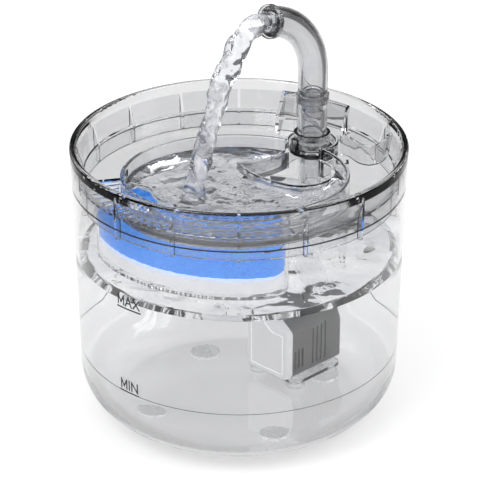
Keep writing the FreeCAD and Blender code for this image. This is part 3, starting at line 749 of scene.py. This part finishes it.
@dataclass
class Bowl:
    """The water in the drinking bowl, rippled round the place where the stream lands."""

    centre_x: float = -2.0 * MM
    centre_y: float = -23.0 * MM
    half_x: float = 58.3 * MM
    half_y: float = 49.3 * MM
    floor: float = 130.7 * MM
    level: float = 139.6 * MM
    corner: float = 8.0 * MM
    rows: int = 100
    sides: int = 128
    bottom_share: float = 0.25
    corner_share: float = 0.35
    wall_share: float = 0.42
    ring_length: float = 1.9 * MM
    ring_height: float = 1.1 * MM
    ring_fade: float = 24.0 * MM
    wave_scale: float = 75.0
    swell: float = 1.1 * MM
    chop_scale: float = 3.1
    chop: float = 0.6 * MM
    froth_scale: float = 6.0
    froth: float = 1.1 * MM
    froth_start: float = 20.0 * MM
    froth_rise: float = 40.0 * MM
    island_top: float = 145.0 * MM
    island_sink: float = 4.0 * MM
    island_shrink: float = 0.008
    front_steps: int = 20
    wall_steps: int = 12

    def ripple(self, x: float, y: float, spout: Spout) -> float:
        """Height of the water over its level.

        Args:
            x: Place across.
            y: Place in depth.
            spout: Where the stream lands.

        Returns:
            The height in metres.
        """
        far = math.hypot(x - spout.landing_x, y - spout.landing_y)
        rings = ring_wave(far, self.ring_length, self.ring_height, self.ring_fade)
        place = Vector((x, y, 0.0)) * self.wave_scale
        swell = noise.noise(place) * self.swell
        chop = noise.noise(place * self.chop_scale) * self.chop
        front = held((-y - self.froth_start) / self.froth_rise)
        froth = noise.noise(place * self.froth_scale) * self.froth * front
        return rings + swell + chop + froth

    def build(self, spout: Spout) -> Piece:
        """Models the bowl's water as a body with a rippled top.

        Args:
            spout: Where the stream lands.

        Returns:
            The piece.
        """
        flat = 1 - self.corner / self.half_x

        def place(along: float, around: float) -> Vector:
            """Point of the water's skin, from the floor's middle over the wall to the top's middle."""
            if along < self.bottom_share:
                reach = flat * along / self.bottom_share
                height = self.floor
            elif along < self.corner_share:
                part = (along - self.bottom_share) / (self.corner_share - self.bottom_share)
                turn = part * math.pi / 2
                reach = flat + (1 - flat) * math.sin(turn)
                height = self.floor + self.corner * (1 - math.cos(turn))
            elif along < self.wall_share:
                part = (along - self.corner_share) / (self.wall_share - self.corner_share)
                reach = 1.0
                height = self.floor + self.corner + (self.level - self.floor - self.corner) * part
            else:
                reach = 1 - (along - self.wall_share) / (1 - self.wall_share)
                height = self.level
            angle = 2 * math.pi * around
            x = self.centre_x + self.half_x * reach * math.cos(angle)
            y = self.centre_y + self.half_y * reach * math.sin(angle)
            if along >= self.wall_share:
                height += self.ripple(x, y, spout)
            return Vector((x, y, height))

        water = wrapped_grid("water_bowl", self.rows, self.sides, place)
        cutter = self.island()
        apply_modifier(water, "BOOLEAN", operation="DIFFERENCE", object=cutter, solver="EXACT")
        bpy.data.objects.remove(cutter)
        tidy_mesh(water, LOOSE_WELD)
        return water

    def island(self) -> Piece:
        """Models the block that the island keeps free of water."""
        outline: list[Point] = []
        for arc in ISLAND_FRONT:
            outline += arc_points(*arc, self.front_steps)[:-1]
        outline += ISLAND_BACK
        outline += arc_points(*ISLAND_WALL, self.wall_steps)[:-1]
        count = len(outline)
        middle_x = sum(x for x, _ in outline) / count
        middle_y = sum(y for _, y in outline) / count

        def place(along: float, around: float) -> Vector:
            """Point of the block: bottom middle, bottom edge, top edge, top middle."""
            x, y = outline[round(around * count) % count]
            x = x + (middle_x - x) * self.island_shrink
            y = y + (middle_y - y) * self.island_shrink
            level = round(along * 3)
            if level in (0, 3):
                x, y = middle_x, middle_y
            height = self.floor - self.island_sink if level < 2 else self.island_top
            return Vector((x * MM, y * MM, height))

        return wrapped_grid("island_cutter", 3, count, place)

    def dress(self, piece: Piece) -> None:
        """Gives the bowl's water its finish and body."""
        # Painted shade: dark blue-grey patches on the bowl's water.
        shade_patch = (0.66, 0.68, 0.72)
        water = Water("bowl_water", wavelet=0.0006, wave_scale=220.0, shade_patch=shade_patch, patch_scale=70.0)
        seat(piece, water.make(), "tray", "clear_tray")


@dataclass
class Tank:
    """Inner form of the tank and the water in it.

    The still water hardly bends light, because the photograph shows the pump unbent under water.
    Only the thin waved layer on top of it does.
    """

    floor: float = 3.9 * MM
    corner: float = 23.6 * MM
    corner_x: float = 62.0 * MM
    corner_z: float = 27.5 * MM
    step_z: float = 38.0 * MM
    step_rise: float = 0.2 * MM
    low_r: float = 85.6 * MM
    step_r: float = 86.25 * MM
    top_r: float = 87.1 * MM
    top_z: float = 133.5 * MM
    overlap: float = 0.3 * MM
    level: float = 95.0 * MM
    skin: float = 1.2 * MM
    skin_gap: float = 0.5 * MM
    calm: float = 14.0 * MM
    sides: int = 160
    floor_rings: int = 6
    corner_rings: int = 12
    wall_rings: int = 8
    under_rings: int = 12
    top_rings: int = 60
    wave_scale: float = 42.0
    wave_seed: float = 0.3
    swell: float = 2.2 * MM
    chop_scale: float = 2.6
    chop: float = 0.9 * MM
    drips: Sequence[Point] = ((-52.0, -40.0), (-20.0, -62.0), (45.0, 30.0))
    drip_length: float = 2.4 * MM
    drip_height: float = 0.7 * MM
    drip_fade: float = 26.0 * MM

    def wall(self, height: float) -> float:
        """Radius of the inner wall at a height above the step."""
        share = (height - self.step_z) / (self.top_z - self.step_z)
        return self.step_r + (self.top_r - self.step_r) * share

    def ripple(self, x: float, y: float) -> float:
        """Height of the tank's water over its level.

        Args:
            x: Place across.
            y: Place in depth.

        Returns:
            The height in metres.
        """
        place = Vector((x, y, self.wave_seed)) * self.wave_scale
        height = noise.noise(place) * self.swell
        height += noise.noise(place * self.chop_scale) * self.chop
        for drip_x, drip_y in self.drips:
            far = math.hypot(x - drip_x * MM, y - drip_y * MM)
            height += ring_wave(far, self.drip_length, self.drip_height, self.drip_fade)
        return height

    def profile(self, top: float) -> list[Point]:
        """Radius and height from the floor's middle to the edge of the top.

        Args:
            top: Height of the top.

        Returns:
            The points.
        """
        low = self.floor - self.overlap
        points = [(self.corner_x * i / self.floor_rings, low) for i in range(self.floor_rings + 1)]
        reach = self.corner + self.overlap
        for i in range(1, self.corner_rings + 1):
            turn = math.pi / 2 * i / self.corner_rings
            points.append((self.corner_x + reach * math.sin(turn), self.corner_z - reach * math.cos(turn)))
        points.append((self.low_r + self.overlap, self.step_z))
        points.append((self.step_r + self.overlap, self.step_z + self.step_rise))
        for i in range(1, self.wall_rings + 1):
            height = self.step_z + (top - self.step_z) * i / self.wall_rings
            points.append((self.wall(height) + self.overlap, height))
        return points

    def build_water(self) -> Piece:
        """Models the still water under the waved skin."""
        outline = self.profile(self.level - self.skin - self.skin_gap)
        outline.append((0.0, outline[-1][1]))
        return self.lathe("water_tank", outline)

    def build_skin(self) -> Piece:
        """Models the top layer of the water, waved on its upper side."""
        edge = self.wall(self.level) + self.overlap
        low = self.level - self.skin
        under, rings = self.under_rings, self.top_rings
        outline = [(edge * i / under, low) for i in range(under + 1)]
        outline += [(edge * (1 - i / rings), low) for i in range(rings + 1)]
        return self.lathe("water_surface", outline, under + 1)

    def lathe(self, name: str, outline: list[Point], waved: int = 0) -> Piece:
        """Models a round body of water.

        Args:
            name: The piece's name.
            outline: Radius and height of its profile.
            waved: First point of the waved top, or 0 for a still one.

        Returns:
            The piece.
        """
        rows = len(outline) - 1
        edge = max(radius for radius, _ in outline)

        def place(along: float, around: float) -> Vector:
            """Point of the water's skin."""
            index = round(along * rows)
            radius, height = outline[index]
            angle = 2 * math.pi * around
            x, y = radius * math.cos(angle), radius * math.sin(angle)
            if waved and index >= waved:
                share = held((edge - radius) / self.calm)
                height += (self.skin + self.ripple(x, y)) * share * (2 - share)
            return Vector((x, y, height))

        return wrapped_grid(name, rows, self.sides, place)

    def dress(self, body: Piece, skin: Piece) -> None:
        """Gives the tank's water its finish and body.

        Args:
            body: The still water.
            skin: The waved layer.
        """
        still = Water("still_water", wavelet=0.0, colour=(0.985, 0.987, 0.99), index=1.03)
        # The waved layer carries patches of painted shade.
        waved = Water(
            "waved_water",
            wavelet=0.0016,
            wave_scale=70.0,
            colour=(0.975, 0.98, 0.985),
            index=1.27,
            shade_patch=(0.86, 0.885, 0.915),
        )
        for piece, water in ((body, still), (skin, waved)):
            seat(piece, water.make(), "tank", "clear_tank")


class Mark(Enum):
    """The two level marks on the tank: word, foot height and polar angle."""

    HIGHEST = ("MAX", 90.0 * MM, math.radians(230.3))
    LOWEST = ("MIN", 39.2 * MM, math.radians(229.2))


# Pen strokes of each letter, in shares of its width and height.
STROKES = {
    "M": [((0, 0), (0, 1)), ((0, 1), (0.5, 0.25)), ((0.5, 0.25), (1, 1)), ((1, 1), (1, 0))],
    "A": [((0, 0), (0.5, 1)), ((0.5, 1), (1, 0)), ((0.2, 0.34), (0.8, 0.34))],
    "X": [((0, 0), (1, 1)), ((0, 1), (1, 0))],
    "I": [((0.5, 0), (0.5, 1))],
    "N": [((0, 0), (0, 1)), ((0, 1), (1, 0)), ((1, 0), (1, 1))],
}


@dataclass
class LevelMark:
    """A level word with a line under it, printed on the tank's outer wall."""

    mark: Mark
    letter_height: float = 5.2 * MM
    letter_width: float = 3.9 * MM
    narrow_width: float = 1.0 * MM
    gap: float = 1.3 * MM
    pen: float = 0.85 * MM
    film: float = 0.05 * MM
    proud: float = 0.03 * MM
    lift: float = 1.7 * MM
    cuts: int = 6
    foot_r: float = 88.0 * MM
    rim_r: float = 89.5 * MM
    foot_z: float = 27.5 * MM
    rim_z: float = 133.5 * MM

    def build(self) -> Piece:
        """Models the word and its line as thin bent strips."""
        word, foot, middle = self.mark.value
        widths = [self.narrow_width if letter == "I" else self.letter_width for letter in word]
        half = (sum(widths) + self.gap * (len(word) - 1)) / 2
        strokes = []
        left = -half
        for letter, width in zip(word, widths):
            for ends in STROKES[letter]:
                corners = [(left + x * width, self.lift + y * self.letter_height, 0) for x, y in ends]
                strokes.append(self.bar(*map(Vector, corners)))
            left += width + self.gap
        line_end = half + self.gap / 2
        strokes.append(self.bar(Vector((-line_end, 0, 0)), Vector((line_end, 0, 0))))
        piece = strokes[0]
        pick(piece)
        for stroke in strokes:
            stroke.select_set(True)
        bpy.ops.object.join()
        piece.name = "mark_" + word.lower()
        for vertex in piece.data.vertices:
            along, height, out = vertex.co
            z = foot + height
            share = (z - self.foot_z) / (self.rim_z - self.foot_z)
            radius = self.foot_r + (self.rim_r - self.foot_r) * share + out + self.proud
            angle = middle + along / radius
            vertex.co = Vector((radius * math.cos(angle), radius * math.sin(angle), z))
        return piece

    def bar(self, first: Vector, last: Vector) -> Piece:
        """A thin bar between two points of the flat word.

        Args:
            first: Where it starts.
            last: Where it ends.

        Returns:
            The bar.
        """
        run = last - first
        clear_selection()
        bpy.ops.mesh.primitive_cube_add(size=1.0)
        bar = bpy.context.object
        bpy.ops.object.mode_set(mode="EDIT")
        bpy.ops.mesh.subdivide(number_cuts=self.cuts)
        bpy.ops.object.mode_set(mode="OBJECT")
        ahead = run.normalized()
        side = Vector((-ahead.y, ahead.x, 0))
        middle = (first + last) / 2
        length = run.length + self.pen
        for vertex in bar.data.vertices:
            x, y, z = vertex.co
            vertex.co = middle + ahead * x * length + side * y * self.pen + Vector((0, 0, z * self.film))
        return bar

    def dress(self, piece: Piece, ink: Material) -> None:
        """Gives the word its ink and body."""
        seat(piece, ink, "tank", "clear_tank")


@dataclass
class Pad:
    """A filter pad: a soft form over the space of its solid."""

    node: str
    name: str
    body: str
    slot: str
    rough: float = 0.25 * MM
    voxel: float = 1.3 * MM
    fill: float = 0.9
    smoothing: float = 0.5
    smooth_rounds: int = 4
    tuft_scale: float = 420.0
    hair_scale: float = 1100.0
    hair_share: float = 0.6
    sink: float = 0.8

    def build(self, frame: dict[str, Any]) -> Piece:
        """Models the pad from a merged copy of its solid.

        Args:
            frame: The loaded frame.

        Returns:
            The piece.
        """
        source = frame["nodes"][self.node]
        piece = bpy.data.objects.new(self.name, source.data.copy())
        bpy.context.collection.objects.link(piece)
        tidy_mesh(piece, LOOSE_WELD)
        apply_modifier(piece, "REMESH", mode="VOXEL", voxel_size=self.voxel, adaptivity=0.0)
        apply_modifier(piece, "SMOOTH", factor=self.smoothing, iterations=self.smooth_rounds)
        for vertex in piece.data.vertices:
            lift = noise.noise(vertex.co * self.tuft_scale)
            lift += self.hair_share * noise.noise(vertex.co * self.hair_scale)
            vertex.co = vertex.co + vertex.normal * (lift - self.sink) * self.rough
        tidy_mesh(piece)
        return piece

    def dress(self, piece: Piece, material: Material) -> None:
        """Puts the pad in its solid's place, with its finish and body.

        Args:
            piece: The pad.
            material: Its material.
        """
        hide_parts(self.node)
        seat(piece, material, self.body, self.slot)


class Finishes:
    """Every material of the frame's own nodes."""

    def __init__(self) -> None:
        """Builds the materials once."""
        clear = ClearPlastic("clear_tank_plastic", (0.95, 0.95, 0.953)).make()
        tray = ClearPlastic("clear_tray_plastic", (0.87, 0.871, 0.875), index=1.54).make()
        box = ClearPlastic("clear_box_plastic", (0.955, 0.958, 0.962), index=1.47).make()
        tube = ClearPlastic("clear_tube_plastic", (0.81, 0.81, 0.815), index=1.55).make()
        silicone = Silicone("milky_silicone").make()
        # Painted light and shade on the pump: the white cover's glow is painted light for its lit side, and
        # the housing's dark grey stands for a light pump's shaded side, painted shade.
        grey = Moulded("grey_pump_plastic_painted_shade", (0.27, 0.27, 0.272)).make()
        white = Moulded("white_pump_plastic_painted_glow", (0.86, 0.86, 0.87), glow=0.42).make()
        rubber = Moulded("black_rubber", (0.03, 0.03, 0.032), (0.64, 0.78)).make()
        magnet = Moulded("ferrite", (0.06, 0.06, 0.065), (0.44, 0.58)).make()
        ceramic = Moulded("ground_ceramic", (0.82, 0.82, 0.79), (0.19, 0.33)).make()
        steel = Metal("laminated_steel", (0.45, 0.45, 0.47), (1.0, 1.0, 0.02)).make()
        copper = Metal("enamelled_copper", (0.72, 0.33, 0.16), (0.05, 0.05, 1.0), (0.17, 0.37)).make()
        self.nodes = {
            clear: ["tank"],
            silicone: ["tank_feet", "riser_seal", "spout_seal", "pump_suction_cups"],
            tray: ["drinking_tray"],
            box: ["filter_box", "supply_tube", "pump_foot_plate"],
            tube: ["faucet_socket", "riser_tube", "spout_collar", "spout_gooseneck"]
            + ["outlet_ring", "outlet_nozzle"],
            grey: ["pump_housing", "pump_volute_cover", "pump_back_plate"],
            white: ["pump_front_cover", "pump_impeller"],
            magnet: ["pump_rotor_magnet"],
            ceramic: ["pump_shaft"],
            rubber: ["pump_shaft_bushes", "pump_cable_gland"],
            steel: ["pump_stator_core"],
            copper: ["pump_coil"],
        }

    def dress(self, frame: dict[str, Any]) -> None:
        """Gives each shown node its material.

        Args:
            frame: The loaded frame.
        """
        for material, names in self.nodes.items():
            for name in names:
                dress(frame["nodes"][name], material)


@dataclass
class Studio:
    """Pale floor, soft light and the camera at the photograph's angle.

    Rays that the clear pieces bend see a bright field on a dark floor and a dark horizon, so that
    clear edges draw dark lines. The field is dimmer under the tank and in a ring round its front:
    a painted shadow that bent rays see.
    """

    elevation: float = math.radians(26.67)
    distance: float = 1.026
    aim_z: float = 0.0957
    focal_px: float = 1883.8
    frame_px: float = 480.0
    sensor: float = 36.0
    shift_px: float = 1.0
    clip_start: float = 0.01
    floor_radius: float = 6.0
    floor_sides: int = 96
    floor_roughness: float = 0.6
    floor_glow: float = 0.55
    pale: Colour = (0.93, 0.93, 0.935)
    white: Colour = (1.0, 1.0, 1.0)
    dark: Colour = (0.03, 0.03, 0.035)
    bright: Colour = (0.92, 0.92, 0.925)
    field_half: float = 0.24
    field_near: float = -0.50
    field_far: float = 0.80
    field_soft: float = 0.10
    field_share: float = 0.85
    # Painted shadow on the field: darker under the tank and in a ring round its front.
    under: Pair = (0.06, 0.13)
    shadow_under_share: float = 0.80
    shadow_ring_inside: Pair = (0.076, 0.084)
    shadow_ring_outside: Pair = (0.125, 0.100)
    shadow_ring_front: Pair = (0.03, -0.03)
    shadow_ring_share: float = 0.5
    lamp_aim_z: float = 0.1
    sky: Sequence[Point] = ((0.0, 0.08), (0.36, 0.04), (0.50, 0.45), (0.64, 1.0), (1.0, 1.0))
    sky_power: float = 0.95
    bounces: int = 28
    glossy_bounces: int = 8

    def camera(self) -> None:
        """Adds the camera."""
        clear_selection()
        back = Vector((0.0, -math.cos(self.elevation), math.sin(self.elevation)))
        place = Vector((0.0, 0.0, self.aim_z)) + back * self.distance
        bpy.ops.object.camera_add(location=place, rotation=(math.pi / 2 - self.elevation, 0.0, 0.0))
        camera = bpy.context.object
        camera.name = "camera"
        camera.data.sensor_width = self.sensor
        camera.data.lens = self.focal_px / self.frame_px * self.sensor
        camera.data.shift_x = self.shift_px / self.frame_px
        camera.data.clip_start = self.clip_start
        bpy.context.scene.camera = camera

    def lamp(self, name: str, place: Sequence[float], size: float, power: float) -> None:
        """Adds one soft lamp aimed at the fountain.

        Args:
            name: The lamp's name.
            place: Where it hangs.
            size: Its width.
            power: Its power in watts.
        """
        clear_selection()
        aim = Vector((0.0, 0.0, self.lamp_aim_z)) - Vector(place)
        turn = aim.to_track_quat("-Z", "Y").to_euler()
        bpy.ops.object.light_add(type="AREA", location=place, rotation=turn)
        lamp = bpy.context.object
        lamp.name = name
        lamp.data.size = size
        lamp.data.energy = power

    def field(self, shader: Shader) -> Value:
        """Brightness of the floor for bent rays.

        Args:
            shader: The floor's shader.

        Returns:
            0 outside the bright field, up to 1 in it.
        """
        split = shader.add("ShaderNodeSeparateXYZ", None, [shader.coordinates.outputs["Object"]])
        across = Value(shader, split.outputs["X"]).math("ABSOLUTE")
        depth = Value(shader, split.outputs["Y"])
        sides = across.step(self.field_half + self.field_soft, self.field_half)
        near = depth.step(self.field_near - self.field_soft, self.field_near)
        far = depth.step(self.field_far + self.field_soft, self.field_far)
        radius = (across * across + depth * depth).math("SQRT")
        # Painted shadow: the field darkens under the tank and in a ring round its front.
        under = radius.step(*self.under).spread(self.shadow_under_share, 1.0)
        ring = radius.step(*self.shadow_ring_inside) * radius.step(*self.shadow_ring_outside)
        front = depth.step(*self.shadow_ring_front)
        edge = (ring * front).spread(1.0, 1.0 - self.shadow_ring_share)
        return sides * near * far * under * edge

    def floor(self) -> None:
        """Adds the pale floor."""
        clear_selection()
        bpy.ops.mesh.primitive_circle_add(
            vertices=self.floor_sides, radius=self.floor_radius, fill_type="NGON", location=(0, 0, 0)
        )
        floor = bpy.context.object
        floor.name = "floor"
        shader = Shader("pale_floor")
        shader.set(Base_Color=self.pale, Roughness=self.floor_roughness)
        glow = shader.add("ShaderNodeEmission", None, {"Color": self.white, "Strength": 1.0})
        seen = shader.mix_shaders(shader.ray("Camera") * self.floor_glow, shader.surface, glow)
        colour = shader.blend(self.field(shader), self.dark, self.bright)
        field = shader.add("ShaderNodeEmission", None, {"Color": colour, "Strength": 1.0})
        shader.show(shader.mix_shaders(shader.bent_ray() * self.field_share, seen, field))
        dress(floor, shader.material)

    def world(self) -> None:
        """Adds an even sky, which bent rays see with a dark horizon."""
        world = bpy.data.worlds.new("studio")
        world.use_nodes = True
        bpy.context.scene.world = world
        nodes = Nodes(world.node_tree)
        point = nodes.add("ShaderNodeTexCoord").outputs["Generated"]
        height = nodes.add("ShaderNodeSeparateXYZ", None, [point]).outputs["Z"]
        ramp = nodes.add("ShaderNodeValToRGB", None, [height])
        elements = ramp.color_ramp.elements
        while len(elements) < len(self.sky):
            elements.new(0.5)
        for element, (place, grey) in zip(elements, self.sky):
            element.position = place
            element.color = (grey, grey, grey, 1)
        even = nodes.add("ShaderNodeBackground", None, {"Color": self.white, "Strength": 1.0})
        sky = nodes.add("ShaderNodeBackground", None, {"Color": ramp.outputs[0], "Strength": self.sky_power})
        nodes.add("ShaderNodeOutputWorld", None, [nodes.mix_shaders(nodes.bent_ray(), even, sky).outputs[0]])

    def settings(self) -> None:
        """Sets the view transform and how deep light goes into clear pieces."""
        scene = bpy.context.scene
        scene.view_settings.view_transform = "Standard"
        scene.cycles.max_bounces = self.bounces
        scene.cycles.transmission_bounces = self.bounces
        scene.cycles.transparent_max_bounces = self.bounces
        scene.cycles.glossy_bounces = self.glossy_bounces

    def build(self) -> None:
        """Sets up the whole studio."""
        self.camera()
        self.floor()
        self.world()
        self.lamp("key_lamp", place=(-0.7, -0.6, 1.3), size=0.9, power=14.0)
        self.lamp("fill_lamp", place=(0.9, -0.3, 0.9), size=0.8, power=6.0)
        self.settings()


def build_water() -> None:
    """Models the water in the tank, the stream and the water in the bowl."""
    tank, spout, bowl = Tank(), Spout(), Bowl()
    tank.dress(tank.build_water(), tank.build_skin())
    spout.dress(spout.build())
    bowl.dress(bowl.build(spout))


def build_marks() -> None:
    """Prints the level marks on the tank."""
    ink = Ink("level_ink").make()
    for mark in Mark:
        label = LevelMark(mark)
        label.dress(label.build(), ink)


def build_pads(frame: dict[str, Any]) -> None:
    """Models the soft pads over their solids.

    Args:
        frame: The loaded frame.
    """
    foam = Pad("filter_foam_pad", "foam_pad", "filter", "blue_foam")
    # The blue foam glows: painted light. Its darker pore colour is painted shade in the pore hollows.
    blue = OpenFoam("blue_filter_foam", wall=(0.03, 0.30, 0.95), shaded_pore=(0.01, 0.16, 0.70), glow=0.8)
    cotton = Pad("filter_cotton_pad", "cotton_pad", "filter", "white_cotton", rough=0.3 * MM)
    intake = Pad("pump_intake_foam", "intake_foam", "tank", "black_foam")
    # The black foam's darker pore colour is painted shade in the pore hollows.
    black = OpenFoam("black_foam", wall=(0.05, 0.05, 0.052), shaded_pore=(0.01, 0.01, 0.01), pores_per_metre=600.0)
    for pad, finish in ((foam, blue), (cotton, Wadding("white_wadding")), (intake, black)):
        pad.dress(pad.build(frame), finish.make())


def main() -> None:
    """Builds the fountain's dressed model and its studio."""
    logging.basicConfig(level=logging.INFO, format="%(message)s")
    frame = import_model()
    Studio().build()
    Finishes().dress(frame)
    build_water()
    build_marks()
    build_pads(frame)


if __name__ == "__main__":
    main()
